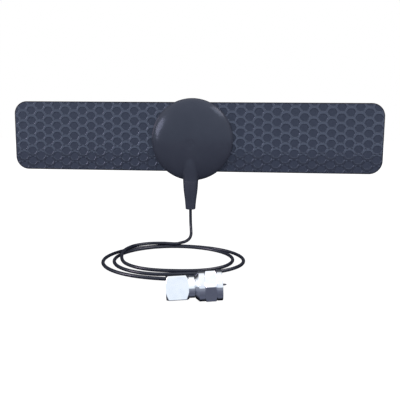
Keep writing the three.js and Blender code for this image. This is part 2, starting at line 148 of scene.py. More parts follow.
def surface(name, dark, light, rough, *, metallic=0.0, coat=0.0, coat_rough=0.05, ior=1.5, spec=0.5,
            tone_scale=180.0, rough_scale=260.0, grain_scale=2600.0, grain=0.06, grain_depth=0.02 * MM,
            stretch=None, second=None, sheen=0.0, tint=None, glow=0.0):
    """Tone, gloss and fine relief, each from its own noise. rough is (low, high); second is a coarser relief (scale, strength, depth)."""
    n = Nodes(name)
    tone = n.noise(tone_scale, 4.0, 0.6, stretch)
    n.link(n.ramp(tone, "Fac", [(0.3, dark), (0.7, light)]), "Color", n.bsdf, "Base Color")
    gloss = n.noise(rough_scale, 5.0, 0.6, stretch)
    n.link(n.remap(gloss, "Fac", *rough), "Result", n.bsdf, "Roughness")
    fine = n.noise(grain_scale, 3.0, 0.6, stretch)
    relief = n.bump(fine, "Fac", grain, grain_depth)
    if second:
        coarse = n.noise(second[0], 2.0, 0.5)
        relief = n.bump(coarse, "Fac", second[1], second[2], relief)
    n.link(relief, "Normal", n.bsdf, "Normal")
    n.put(Metallic=metallic, IOR=ior, Specular_IOR_Level=spec, Coat_Weight=coat, Coat_Roughness=coat_rough)
    if sheen:
        n.put(Sheen_Weight=sheen)
    if tint:
        n.put(Specular_Tint=(*tint, 1.0))
    if glow:
        n.put(Emission_Color=(1.0, 1.0, 1.0, 1.0), Emission_Strength=glow)
    return n.mat


# ------------------------------------------------------------------ mesh helpers (all take millimetres)
def mesh_object(name, verts, faces, mats=(), face_mats=None, sharp=35.0, matrix=None):
    me = bpy.data.meshes.new(name)
    m = matrix or Matrix.Identity(4)
    me.from_pydata([(m @ Vector(v)) * MM for v in verts], [], faces)
    if face_mats is not None:
        me.polygons.foreach_set("material_index", face_mats)
    for mat in mats:
        me.materials.append(mat)
    ob = bpy.data.objects.new(name, me)
    scene.collection.objects.link(ob)
    tidy(ob, sharp)
    return ob


def tidy(ob, sharp=35.0):
    bm = bmesh.new()
    bm.from_mesh(ob.data)
    bmesh.ops.remove_doubles(bm, verts=bm.verts, dist=1e-7)
    bmesh.ops.dissolve_degenerate(bm, edges=bm.edges, dist=1e-8)
    bmesh.ops.recalc_face_normals(bm, faces=bm.faces)
    bm.to_mesh(ob.data)
    bm.free()
    ob.data.shade_smooth()
    ob.data.set_sharp_from_angle(angle=math.radians(sharp))
    ob.data.update()


def rounded(points, radius, steps=4, closed=False):
    """A polyline with its corners rounded. radius is one number or one per point."""
    n = len(points)
    rad = [radius] * n if isinstance(radius, (int, float)) else list(radius)
    out = []
    for i, p in enumerate(points):
        p = Vector(p)
        if rad[i] <= 0 or (not closed and i in (0, n - 1)):
            out.append(tuple(p))
            continue
        a, b = Vector(points[i - 1]), Vector(points[(i + 1) % n])
        u, v = (a - p), (b - p)
        lu, lv = u.length, v.length
        u.normalize()
        v.normalize()
        ang = u.angle(v)
        if ang > math.radians(178):
            out.append(tuple(p))
            continue
        cut = min(rad[i] / math.tan(ang / 2), lu * 0.49, lv * 0.49)
        r = cut * math.tan(ang / 2)
        s, e = p + u * cut, p + v * cut
        c = p + (u + v).normalized() * (r / math.sin(ang / 2))
        d0, d1 = s - c, e - c
        sweep = d0.angle(d1)
        for k in range(steps + 1):
            t = k / steps
            w = (d0 * math.sin((1 - t) * sweep) + d1 * math.sin(t * sweep)) / math.sin(sweep)
            out.append(tuple(c + w))
    return out


def lathe(name, profile, seg, axis="y", at=(0, 0), mats=(), sharp=35.0, matrix=None, closed=False, build=True):
    """profile is (radius, height along the axis); at is where the axis crosses the other two directions."""
    verts, rows, faces = [], [], []
    for r, h in profile:
        row = []
        count = 1 if abs(r) < 1e-9 else seg
        for k in range(count):
            a = 2 * math.pi * k / seg
            c, s = r * math.cos(a), r * math.sin(a)
            if axis == "y":
                verts.append((at[0] + c, h, at[1] + s))
            elif axis == "z":
                verts.append((at[0] + c, at[1] + s, h))
            else:
                verts.append((h, at[0] + c, at[1] + s))
            row.append(len(verts) - 1)
        rows.append(row)
    pairs = list(zip(rows[:-1], rows[1:]))
    if closed:
        pairs.append((rows[-1], rows[0]))
    for a, b in pairs:
        for k in range(seg):
            k2 = (k + 1) % seg
            if len(a) == 1 and len(b) == 1:
                break
            if len(a) == 1:
                faces.append((a[0], b[k2], b[k]))
            elif len(b) == 1:
                faces.append((a[k], a[k2], b[0]))
            else:
                faces.append((a[k], a[k2], b[k2], b[k]))
    if not build:
        return verts, faces
    return mesh_object(name, verts, faces, mats, None, sharp, matrix)


def sweep_rows(name, rows, mats=(), sharp=35.0, matrix=None, row_mats=None):
    """rows are (x, [(radius, angle), ...]) round the local x axis; a closed tube of rows, the last joined to the first."""
    cols = len(rows[0][1])
    verts, faces, fm = [], [], []
    for x, ring in rows:
        for r, a in ring:
            verts.append((x, r * math.cos(a), r * math.sin(a)))
    n = len(rows)
    for i in range(n):
        j = (i + 1) % n
        for k in range(cols):
            k2 = (k + 1) % cols
            faces.append((i * cols + k, i * cols + k2, j * cols + k2, j * cols + k))
            fm.append(row_mats[i] if row_mats else 0)
    return mesh_object(name, verts, faces, mats, fm, sharp, matrix)


def boolean(ob, tools, operation="DIFFERENCE", sharp=35.0):
    for t in tools:
        m = ob.modifiers.new("cut", "BOOLEAN")
        m.operation, m.object, m.solver = operation, t, "EXACT"
        bpy.context.view_layer.update()
        dg = bpy.context.evaluated_depsgraph_get()
        me = bpy.data.meshes.new_from_object(ob.evaluated_get(dg))
        ob.modifiers.clear()
        old, ob.data = ob.data, me
        bpy.data.meshes.remove(old)
    for t in tools:
        bpy.data.objects.remove(t)
    tidy(ob, sharp)
    return ob


def put(ob, body, slot, *nodes):
    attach(ob, body)
    if nodes:
        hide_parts(*nodes)
    return ob


# ------------------------------------------------------------------ the plug's own frame
U = Vector((0.98923026, 0.13670418, 0.05230160)).normalized()
V = Vector((-U.y, U.x, 0)).normalized()
W = U.cross(V)
PLUG = Matrix(((U.x, V.x, W.x, 9.704), (U.y, V.y, W.y, -108.355), (U.z, V.z, W.z, -49.721), (0, 0, 0, 1)))
ELBOW = PLUG @ Matrix.Rotation(math.radians(-13), 4, "X")


def on_lead(d):
    """A point on the lead's line into the ferrule, d mm behind the ferrule's end."""
    return ELBOW @ Vector((-4.15, 8.6 + d, 0))


# ------------------------------------------------------------------ the free lead
REST = -55.99 + 0.8
TURNS = [25.64, 27.55, 29.53, 29.62, 28.03, 26.36, 25.03, 23.96, 23.06, 22.23, 21.4, 20.71, 20.56, 21.36, 23.05,
         25.0, 26.55, 27.5, 27.95, 27.85, 27.4, 26.8, 26.25, 26.01, 25.99, 26.17, 26.49, 26.89, 27.34, 27.76,
         28.11, 28.33, 28.38, 28.19, 27.78, 27.15, 26.38, 26.46, 27.83, 29.83, 31.75, 32.89, 32.98, 32.27, 31.07,
         29.69, 28.47, 27.78, 27.74, 27.94, 28.68, 29.76, 30.95, 32.09, 33.01, 33.58, 33.7, 33.54, 33.27, 33.07]


def lead_route():
    pts = [(-0.45, -7.4, -36.2), (-0.45, -7.4, -37.9), (-0.40, -7.45, -41.64), (-0.22, -7.9, -45.99),
           (0.13, -9.2, -49.06), (0.31, -11.3, -50.94), (-0.24, -14.2, -52.42), (-1.89, -17.2, -53.34),
           (-3.86, -19.5, -53.56)]
    for i, r in enumerate(TURNS):
        phi = 95 + 15 * i
        a = math.radians(phi)
        if phi <= 158:
            lift = 1.63
        elif phi < 200:
            lift = 1.63 * 0.5 * (1 + math.cos(math.pi * (phi - 158) / 42))
        else:
            lift = 0.0
        pts.append((-3.9 + r * math.cos(a), -47.9 + r * math.sin(a), REST + lift))
    pts += [(-5.1, -81.0, REST), (-3.0, -81.2, REST)]
    for deg, z in ((60, REST), (30, -55.11), (0, -54.78)):
        a = math.radians(deg)
        pts.append((-3 + 6 * math.cos(a), -87.2 + 6 * math.sin(a), z))
    for d, dz in ((12, 0.105), (9, 0.0), (5, 0.0), (2, 0.0), (-1.5, 0.0), (-4.5, 0.0)):
        p = on_lead(d)
        pts.append((p.x, p.y, p.z + dz))
    return [Vector(p) for p in pts]


def catmull(points, per=8):
    """Even points along a centripetal Catmull-Rom curve."""
    out = []
    n = len(points)
    for i in range(n - 1):
        p0 = points[i - 1] if i else points[0] * 2 - points[1]
        p1, p2 = points[i], points[i + 1]
        p3 = points[i + 2] if i + 2 < n else points[-1] * 2 - points[-2]
        t0, t1 = 0.0, max((p1 - p0).length, 1e-6) ** 0.5
        t2 = t1 + max((p2 - p1).length, 1e-6) ** 0.5
        t3 = t2 + max((p3 - p2).length, 1e-6) ** 0.5
        for k in range(per):
            t = t1 + (t2 - t1) * k / per
            a1 = p0 * ((t1 - t) / (t1 - t0)) + p1 * ((t - t0) / (t1 - t0))
            a2 = p1 * ((t2 - t) / (t2 - t1)) + p2 * ((t - t1) / (t2 - t1))
            a3 = p2 * ((t3 - t) / (t3 - t2)) + p3 * ((t - t2) / (t3 - t2))
            b1 = a1 * ((t2 - t) / (t2 - t0)) + a2 * ((t - t0) / (t2 - t0))
            b2 = a2 * ((t3 - t) / (t3 - t1)) + a3 * ((t - t1) / (t3 - t1))
            out.append(b1 * ((t2 - t) / (t2 - t1)) + b2 * ((t - t1) / (t2 - t1)))
    out.append(points[-1])
    return out


line = catmull(lead_route(), 6)
cd = bpy.data.curves.new("free_lead", "CURVE")
cd.dimensions = "3D"
cd.bevel_depth, cd.bevel_resolution, cd.use_fill_caps = 0.8 * MM, 5, True
cd.twist_mode = "MINIMUM"
sp = cd.splines.new("POLY")
sp.points.add(len(line) - 1)
for q, p in zip(sp.points, line):
    q.co = (*(p * MM), 1.0)
sp.use_smooth = True
lead = bpy.data.objects.new("free_lead", cd)
scene.collection.objects.link(lead)

jacket = surface("jacket_matte", lin(38, 39, 50), lin(46, 48, 60), (0.22, 0.34), ior=1.40, tint=(0.85, 0.93, 1.0),
                 tone_scale=140, grain_scale=1800, grain=0.12, grain_depth=0.03 * MM)
cd.materials.append(jacket)
put(lead, "antenna", "cord_jacket", "cord_drop", "cord_coil", "cord_tail")


# ------------------------------------------------------------------ materials
film_ridge = surface("film_gloss", lin(48, 51, 62), lin(54, 57, 69), (0.015, 0.04), ior=1.84, tint=(0.68, 0.76, 1.0),
                     tone_scale=120, rough_scale=420, grain_scale=900, grain=0.02, grain_depth=0.01 * MM)
film_cell = surface("film_cell", lin(56, 57, 72), lin(63, 64, 80), (0.28, 0.36), tint=(0.6, 0.8, 1.0),
                    tone_scale=900, rough_scale=500, grain_scale=4200, grain=0.2, grain_depth=0.02 * MM)
film_edge = surface("film_edge", lin(30, 33, 41), lin(38, 41, 50), (0.5, 0.65), spec=0.2,
                    tone_scale=400, grain_scale=3000, grain=0.25, grain_depth=0.03 * MM)
film_back = surface("film_back", lin(50, 55, 69), lin(58, 63, 78), (0.38, 0.52), spec=0.4,
                    tone_scale=150, rough_scale=300, grain_scale=3800, grain=0.45, grain_depth=0.04 * MM)
shell = surface("hub_shell", lin(67, 69, 81), lin(72, 74, 86), (0.17, 0.23), ior=1.25, tint=(0.50, 0.72, 0.88),
                tone_scale=60, rough_scale=150, grain_scale=900, grain=0.04, grain_depth=0.02 * MM)
shell_back = surface("hub_shell_back", lin(42, 45, 56), lin(50, 53, 65), (0.38, 0.5), spec=0.4,
                     tone_scale=200, rough_scale=300, grain_scale=3600, grain=0.5, grain_depth=0.04 * MM)
boot_mat = surface("boot_plastic", lin(64, 66, 79), lin(70, 72, 85), (0.22, 0.3), ior=1.40,
                   tone_scale=90, rough_scale=200, grain_scale=2200, grain=0.12, grain_depth=0.02 * MM)
nickel = surface("bright_nickel", lin(236, 240, 246), lin(250, 252, 254), (0.05, 0.10), metallic=1.0,
                 tone_scale=300, rough_scale=700, grain_scale=2400, grain=0.035, grain_depth=0.01 * MM)
turned = surface("turned_nickel", lin(228, 232, 240), lin(248, 250, 253), (0.07, 0.13), metallic=1.0,
                 tone_scale=300, rough_scale=700, grain_scale=2000, grain=0.06, grain_depth=0.01 * MM)
pin_mat = surface("pin_metal", lin(92, 93, 102), lin(112, 114, 122), (0.2, 0.32), metallic=1.0,
                  tone_scale=500, rough_scale=800, grain_scale=3200, grain=0.15, grain_depth=0.01 * MM)
steel = surface("zinc_steel", lin(150, 154, 160), lin(186, 189, 194), (0.22, 0.36), metallic=1.0,
                tone_scale=700, rough_scale=900, grain_scale=4200, grain=0.2, grain_depth=0.01 * MM)
liner = surface("tape_liner", lin(205, 208, 211), lin(228, 230, 232), (0.5, 0.65), spec=0.35,
                tone_scale=240, rough_scale=500, grain_scale=1900, grain=0.25, grain_depth=0.03 * MM,
                second=(110, 0.2, 0.06 * MM))
foam = surface("tape_foam", lin(168, 172, 176), lin(206, 208, 211), (0.85, 0.95), spec=0.2,
               tone_scale=2400, rough_scale=900, grain_scale=3600, grain=0.8, grain_depth=0.08 * MM)
insulator_mat = surface("white_insulator", lin(222, 222, 216), lin(240, 240, 235), (0.35, 0.5),
                        tone_scale=400, grain_scale=2600, grain=0.12, grain_depth=0.02 * MM)
brass = surface("plain_brass", lin(176, 146, 82), lin(204, 176, 108), (0.22, 0.36), metallic=1.0,
                tone_scale=600, rough_scale=900, grain_scale=3600, grain=0.15, grain_depth=0.01 * MM)
tin = surface("tin_plate", lin(184, 187, 191), lin(214, 216, 219), (0.25, 0.42), metallic=1.0,
              tone_scale=500, rough_scale=800, grain_scale=3200, grain=0.2, grain_depth=0.01 * MM)
copper = surface("enamelled_copper", lin(150, 74, 40), lin(188, 104, 60), (0.2, 0.3), metallic=1.0, coat=0.6,
                 tone_scale=800, grain_scale=3000, grain=0.08, grain_depth=0.01 * MM)
foil_mat = surface("rolled_foil", lin(188, 190, 194), lin(216, 218, 221), (0.2, 0.34), metallic=1.0,
                   tone_scale=90, rough_scale=300, grain_scale=900, grain=0.2, grain_depth=0.02 * MM,
                   stretch=(0.08, 1.0, 1.0))
board_mat = surface("solder_mask", lin(22, 84, 44), lin(34, 104, 58), (0.28, 0.4), coat=0.3,
                    tone_scale=500, rough_scale=700, grain_scale=2600, grain=0.2, grain_depth=0.02 * MM)
ferrite_mat = surface("ferrite_ceramic", lin(34, 34, 37), lin(52, 52, 56), (0.6, 0.8), spec=0.3,
                      tone_scale=1800, grain_scale=4200, grain=0.6, grain_depth=0.03 * MM)
chip_mat = surface("ceramic_chip", lin(126, 106, 80), lin(158, 136, 106), (0.4, 0.55),
                   tone_scale=2600, grain_scale=5200, grain=0.3, grain_depth=0.02 * MM)

# ------------------------------------------------------------------ the sheet
SHEET = {"w": 200.0, "h": 37.3, "r": 7.0, "cx": 1.1, "cz": 1.3}
PITCH, COLUMN, X0, Z0 = 5.488, 4.804, 6.703, 3.907     # honeycomb: rows, columns, and one cell's centre
CELL_TOP, CELL_FLOOR, CELL_DEPTH = 2.26, 2.02, 0.16
SIDES = 20
EDGE = 0.5


def outline_distance(x, z):
    """Distance inside the sheet's rounded outline, positive inside."""
    qx = abs(x - SHEET["cx"]) - (SHEET["w"] / 2 - SHEET["r"])
    qz = abs(z - SHEET["cz"]) - (SHEET["h"] / 2 - SHEET["r"])
    outside = math.hypot(max(qx, 0.0), max(qz, 0.0))
    return SHEET["r"] - outside - min(max(qx, qz), 0.0)


def outline(inset=0.0, corner=20, side=0.0):
    w, h, r = SHEET["w"] / 2 - inset, SHEET["h"] / 2 - inset, SHEET["r"] - inset
    pts = []
    for sx, sz, a0 in ((1, -1, -90), (1, 1, 0), (-1, 1, 90), (-1, -1, 180)):
        cx, cz = SHEET["cx"] + sx * (w - r), SHEET["cz"] + sz * (h - r)
        for k in range(corner + 1):
            a = math.radians(a0 + 90 * k / corner)
            pts.append((cx + r * math.cos(a), cz + r * math.sin(a)))
    return pts


def cell_shape(phi):
    """Rounded hexagon with flat top and bottom: radius for an apothem of 1."""
    m = (phi % (math.pi / 3)) - math.pi / 6
    return (1 + 0.65 * (1 / math.cos(m) - 1)) * (1 + 0.055 * math.cos(2 * phi))


def lattice_near(x, z):
    best = None
    i0 = round((x - X0) / COLUMN)
    for i in (i0 - 1, i0, i0 + 1):
        cx = X0 + i * COLUMN
        off = PITCH / 2 if i % 2 else 0.0
        j = round((z - Z0 - off) / PITCH)
        cz = Z0 + off + j * PITCH
        d = math.hypot(x - cx, z - cz)
        if best is None or d < best[0]:
            best = (d, cx, cz)
    return best


def cell_metric(x, z):
    d, cx, cz = lattice_near(x, z)
    return d / cell_shape(math.atan2(z - cz, x - cx)) if d > 1e-9 else 0.0


def smooth(t):
    t = min(max(t, 0.0), 1.0)
    return t * t * (3 - 2 * t)


HOLES = [(-10.5, 10.5, 1.6), (10.5, 10.5, 1.6), (-10.5, -10.5, 1.6), (10.5, -10.5, 1.6), (-8, 3, 1.25), (8, 3, 1.25)]


def ring(cx, cz, r, n):
    return [(cx + r * math.cos(2 * math.pi * k / n), cz + r * math.sin(2 * math.pi * k / n)) for k in range(n)]


def plate(name, loops, inside, front, rear, material_of, mats, sharp):
    """A closed plate in x and z from constraint loops. front(x, z) and rear(x, z) give y; inside(x, z) says what is kept."""
    vs, es = [], []
    for loop in loops:
        base = len(vs)
        vs += [Vector(p) for p in loop]
        if len(loop) > 1:
            es += [(base + k, base + (k + 1) % len(loop)) for k in range(len(loop))]
    v2, _, f2, _, _, _ = geometry.delaunay_2d_cdt(vs, es, [], 0, 1e-5, False)
    keep = []
    for f in f2:
        x = sum(v2[k][0] for k in f) / 3
        z = sum(v2[k][1] for k in f) / 3
        if inside(x, z):
            keep.append(tuple(f))
    used = sorted({k for f in keep for k in f})
    new = {k: i for i, k in enumerate(used)}
    n = len(used)
    verts = [(v2[k][0], front(v2[k][0], v2[k][1]), v2[k][1]) for k in used]
    verts += [(v2[k][0], rear(v2[k][0], v2[k][1]), v2[k][1]) for k in used]
    faces, fm, count = [], [], {}
    for f in keep:
        a, b, c = (new[k] for k in f)
        faces.append((a, b, c))
        x = sum(v2[k][0] for k in f) / 3
        z = sum(v2[k][1] for k in f) / 3
        fm.append(material_of(x, z, True))
        faces.append((c + n, b + n, a + n))
        fm.append(material_of(x, z, False))
        for e in ((a, b), (b, c), (c, a)):
            key = (min(e), max(e))
            count.setdefault(key, []).append(e)
    for key, found in count.items():
        if len(found) == 1:
            a, b = found[0]
            faces.append((b, a, a + n, b + n))
            fm.append(len(mats) - 1)
    return mesh_object(name, verts, faces, mats, fm, sharp)


def kept(x, z):
    return outline_distance(x, z) > 0 and all(math.hypot(x - hx, z - hz) > hr * 0.985 for hx, hz, hr in HOLES)


loops = [outline(0.0), outline(EDGE * 0.45), outline(EDGE)]
loops += [ring(hx, hz, hr, 20) for hx, hz, hr in HOLES]
ci = int(SHEET["w"] / 2 / COLUMN) + 3
for i in range(-ci, ci + 1):
    cx = X0 + i * COLUMN
    if abs(cx - SHEET["cx"]) > SHEET["w"] / 2 + 2.6:
        continue
    for j in range(-6, 7):
        cz = Z0 + (PITCH / 2 if i % 2 else 0.0) + j * PITCH
        if abs(cz - SHEET["cz"]) > SHEET["h"] / 2 + 2.6 or math.hypot(cx, cz) < 18.0:
            continue
        if outline_distance(cx, cz) < -2.4:
            continue
        for t in (0.0, 0.3, 0.5, 0.7, 1.0):
            apothem = CELL_TOP + (CELL_FLOOR - CELL_TOP) * t
            loop = []
            for k in range(SIDES):
                a = 2 * math.pi * (k + 0.5 * (t in (0.3, 0.7))) / SIDES
                s = apothem * cell_shape(a)
                loop.append((cx + s * math.cos(a), cz + s * math.sin(a)))
            loops.append(loop)
        loops.append(ring(cx, cz, 0.95, 8))


def film_front(x, z):
    y = -3.75
    if math.hypot(x, z) > 18.0 - 2.4:
        d, cx, cz = lattice_near(x, z)
        if math.hypot(cx, cz) >= 18.0:
            t = smooth((CELL_TOP - cell_metric(x, z)) / (CELL_TOP - CELL_FLOOR))
            y += CELL_DEPTH * t
    e = outline_distance(x, z)
    if e < EDGE:
        y = max(y, -3.75 + 0.30 * (1 - smooth(e / EDGE)) ** 1.0) if e < EDGE * 0.99 else y
    return y


def film_material(x, z, is_front):
    if not is_front:
        return 2
    if outline_distance(x, z) < EDGE * 0.98:
        return 2
    d, cx, cz = lattice_near(x, z)
    if math.hypot(cx, cz) >= 18.0 and cell_metric(x, z) < CELL_TOP - 0.01:
        return 1
    return 0


front_film = plate("front_film", loops, kept, film_front, lambda x, z: -3.30, film_material,
                   (film_ridge, film_cell, film_edge), 24.0)


def crease_flats(ob):
    """The edges between a level face and a sloping one are sharp, so the land between the cells reflects as a plane."""
    bm = bmesh.new()
    bm.from_mesh(ob.data)
    for e in bm.edges:
        if len(e.link_faces) == 2 and (abs(e.link_faces[0].normal.y) > 0.99999) != (abs(e.link_faces[1].normal.y) > 0.99999):
            e.smooth = False
    bm.to_mesh(ob.data)
    bm.free()
    ob.data.update()


crease_flats(front_film)
put(front_film, "antenna", "film", "front_skin")

# rear film: sealed raised border on its inner side, the elements' outline showing faintly on its outer side
def foil_outline(side, grow=0.0):
    far = SHEET["cx"] + side * (SHEET["w"] / 2 - 4 + grow)
    half = SHEET["h"] / 2 - 4 + grow
    z0, z1 = SHEET["cz"] - half, SHEET["cz"] + half
    near = side * (2.5 - grow)
    return [(near, -1 - grow), (side * 13.5, -3 - grow), (side * 19, z0), (far - side * 3, z0), (far, z0 + 3),
            (far, z1 - 3), (far - side * 3, z1), (side * 19, z1), (side * 13.5, 8 + grow), (near, 7 + grow)]


def in_polygon(x, z, poly):
    hit = False
    for (x0, z0), (x1, z1) in zip(poly, poly[1:] + poly[:1]):
        if (z0 > z) != (z1 > z) and x < (x1 - x0) * (z - z0) / (z1 - z0) + x0:
            hit = not hit
    return hit


FOILS = [foil_outline(s, g) for s in (-1, 1) for g in (0.0,)]
FOILS_OUT = [foil_outline(s, 0.5) for s in (-1, 1)]
rear_loops = [outline(0.0), outline(0.22), outline(EDGE), outline(2.4), outline(2.7)]
rear_loops += [ring(hx, hz, hr, 20) for hx, hz, hr in HOLES] + FOILS + FOILS_OUT


def rear_inner(x, z):
    return -3.27 if outline_distance(x, z) < 2.45 else -3.05


def rear_outer(x, z):
    y = -2.65
    if any(in_polygon(x + dx, z + dz, f) for f in FOILS for dx, dz in ((1e-3, 0), (-1e-3, 0), (0, 1e-3), (0, -1e-3))):
        y = -2.58
    e = outline_distance(x, z)
    if e < EDGE:
        y = -2.65 - 0.22 * (1 - smooth(e / EDGE))
    return y


rear_film = plate("rear_film", rear_loops, kept, rear_inner, rear_outer,
                  lambda x, z, f: 1 if f or outline_distance(x, z) < EDGE * 0.98 else 0, (film_back, film_edge), 60.0)
put(rear_film, "antenna", "film", "rear_skin")

# ------------------------------------------------------------------ the hub's front cover
HUB_R, SHOULDER, RISE, DOME_N, WALL = 22.0, 5.2, 7.3, 2.1, 1.4
LEAD_X, LEAD_Y = -0.45, -7.4
RIDGE = [(-8.4, 3.6), (-9.9, 4.12), (-11.5, 4.45), (-13.5, 4.5), (-16, 4.4), (-19, 4.26), (-21.95, 4.11)]
DIMPLE = (-0.35, -2.35, 1.9, 3.1, 0.10)     # centre, inner and outer radius of its edge, depth


def interp(table, x):
    pts = sorted(table)
    if x <= pts[0][0]:
        return pts[0][1]
    if x >= pts[-1][0]:
        return pts[-1][1]
    for (a, fa), (b, fb) in zip(pts, pts[1:]):
        if a <= x <= b:
            return fa + (fb - fa) * (x - a) / (b - a)


def smax(a, b, k):
    d = max(k - abs(a - b), 0.0)
    return max(a, b) + d * d / (4 * k)


def dome_height(t, radius, rise, base):
    """t runs from 0 at the crown to 1 at the rim: (radius, height)."""
    a = math.pi / 2 * t
    return radius * math.sin(a) ** (2 / DOME_N), base + rise * max(math.cos(a), 0.0) ** (2 / DOME_N)


def ridge_height(x, z, thin=0.0):
    if z > -8.0:
        return 0.0
    rho = interp(RIDGE, z) - thin
    if z > -8.4:
        rho *= max((-8.0 - z) / 0.4, 0.0)
    d = abs(x - LEAD_X)
    if d < rho:
        return -LEAD_Y + math.sqrt(rho * rho - d * d)
    return -LEAD_Y - 6.0 * (d - rho)


def hub_angles():
    near = [k * 0.4 for k in range(0, 46)]
    far = [18.0 + k * 162.0 / 84 for k in range(1, 84)]
    a = sorted([-x for x in near[1:]] + near + far + [-x for x in far] + [180.0])
    slots = []
    top = SHEET["cz"] + SHEET["h"] / 2 + 0.3
    low = SHEET["cz"] - SHEET["h"] / 2 - 0.3
    for s in (1, -1):
        for z in (top, low):
            deg = math.degrees(math.asin(z / HUB_R))
            for eps in (-0.02, 0.02):
                th = deg + eps if s > 0 else 180 - deg + eps
                slots.append((th + 90 + 180) % 360 - 180)
    return sorted(set(a) | set(slots))


def hub_cover():
    angles = hub_angles()
    cols = len(angles)
    ts = [1 - (1 - k / 64) ** 1.9 for k in range(0, 65)]
    verts, faces = [], []

    def height(x, z, h):
        y = smax(h, ridge_height(x, z), 0.55)
        d = math.hypot(x - DIMPLE[0], z - DIMPLE[1])
        y -= DIMPLE[4] * (1 - smooth((d - DIMPLE[2]) / (DIMPLE[3] - DIMPLE[2])))
        return y

    def back_of(z):
        return 3.81 if abs(z - SHEET["cz"]) < SHEET["h"] / 2 + 0.3 else 2.65

    verts.append((0, -height(0, 0, SHOULDER + RISE), 0))
    rows = []
    for t in ts[1:]:
        r, h = dome_height(t, HUB_R, RISE, SHOULDER)
        row = []
        for a in angles:
            th = math.radians(a - 90)
            x, z = r * math.cos(th), r * math.sin(th)
            verts.append((x, -height(x, z, h), z))
            row.append(len(verts) - 1)
        rows.append(row)
    # down the rim, a small round at its rear edge, across the rear edge, and the inside
    for dr, dy in ((0, 0.16), (0.02, 0.08), (0.07, 0.02), (0.16, 0.0), (WALL - 0.1, 0.0), (WALL, 0.1)):
        row = []
        for a in angles:
            th = math.radians(a - 90)
            x, z = (HUB_R - dr) * math.cos(th), (HUB_R - dr) * math.sin(th)
            verts.append((x, -(back_of(HUB_R * math.sin(th)) + dy), z))
            row.append(len(verts) - 1)
        rows.append(row)
    for t in [1 - k / 18 for k in range(0, 18)]:
        r, h = dome_height(t, HUB_R - WALL, RISE - WALL, SHOULDER)
        row = []
        for a in angles:
            th = math.radians(a - 90)
            x, z = r * math.cos(th), r * math.sin(th)
            inner = smax(h, ridge_height(x, z, 1.3) if z > -20.6 else 0.0, 0.3)
            verts.append((x, -inner, z))
            row.append(len(verts) - 1)
        rows.append(row)
    verts.append((0, -(SHOULDER + RISE - WALL), 0))
    for k in range(cols):
        k2 = (k + 1) % cols
        faces.append((0, rows[0][k2], rows[0][k]))
        faces.append((len(verts) - 1, rows[-1][k], rows[-1][k2]))
    for a, b in zip(rows, rows[1:]):
        for k in range(cols):
            k2 = (k + 1) % cols
            faces.append((a[k], a[k2], b[k2], b[k]))
    return mesh_object("hub_cover", verts, faces, (shell,), None, 42.0)


hub = hub_cover()
put(hub, "antenna", "hub_plastic", "hub_front_cover")

# ------------------------------------------------------------------ the hub's rear cover, screws and tape
rear = lathe("hub_back", rounded([
    (0, -1.9), (12.6, -1.9), (12.6, -2.6), (21.4, -2.6), (21.4, -0.8), (19.9, -0.8), (19.6, -1.0), (19.1, -1.0), (18.8, -0.8),
    (12.4, -0.8), (12.2, -0.95), (11.7, -0.95), (11.6, -0.8), (0, -0.8)],
    [0, 0, 0, 0.15, 0.45, 0.1, 0.08, 0.08, 0.1, 0.08, 0.06, 0.06, 0.06, 0], 4), 160, "y", (0, 0), (shell_back,), 40.0)
SCREWS = [(-10.5, 10.5), (10.5, 10.5), (-10.5, -10.5), (10.5, -10.5)]
tools = []
for i, (x, z) in enumerate(SCREWS):
    tools.append(lathe(f"sink_{i}", [(0, 0.5), (2.25, 0.5), (2.25, -0.92), (1.3, -1.75), (1.3, -4), (0, -4)], 40, "y", (x, z)))
rear = boolean(rear, tools)
put(rear, "antenna", "hub_plastic", "hub_rear_cover")

for i, (x, z) in enumerate(SCREWS):
    thread = []
    y = -2.2
    while y > -7.4:
        thread += [(0.80, y), (1.02, y - 0.16), (1.02, y - 0.22), (0.80, y - 0.38)]
        y -= 0.5
    body = lathe(f"screw_{i + 1}", rounded([(0, -0.9), (1.55, -0.9), (1.86, -1.02), (1.86, -1.08), (1.0, -1.9)],
                 [0, 0.12, 0.06, 0.05, 0], 3) + thread + [(0.78, -7.7), (0.3, -8.5), (0, -8.5)], 48, "y", (x, z), (steel,), 30.0)
    turn = math.radians((17, 62, 38, 80)[i])
    blades = []
    for k in range(2):
        a = turn + k * math.pi / 2
        c, s = math.cos(a), math.sin(a)
        L, T, D = 0.98, 0.19, 0.62
        quad = [(-L, -T), (L, -T), (L, T), (-L, T)]
        low = [(-L * 0.45, -T * 0.7), (L * 0.45, -T * 0.7), (L * 0.45, T * 0.7), (-L * 0.45, T * 0.7)]
        vs = [(x + p * c - q * s, -0.7, z + p * s + q * c) for p, q in quad]
        vs += [(x + p * c - q * s, -0.9 - D, z + p * s + q * c) for p, q in low]
        blades.append(mesh_object(f"blade_{i}_{k}", vs, [(0, 1, 2, 3), (7, 6, 5, 4), (0, 4, 5, 1), (1, 5, 6, 2), (2, 6, 7, 3), (3, 7, 4, 0)]))
    body = boolean(body, blades, sharp=30.0)
    body.name = f"back_screw_{i + 1}"
    put(body, "antenna", "steel", f"hub_screw_{i + 1}")


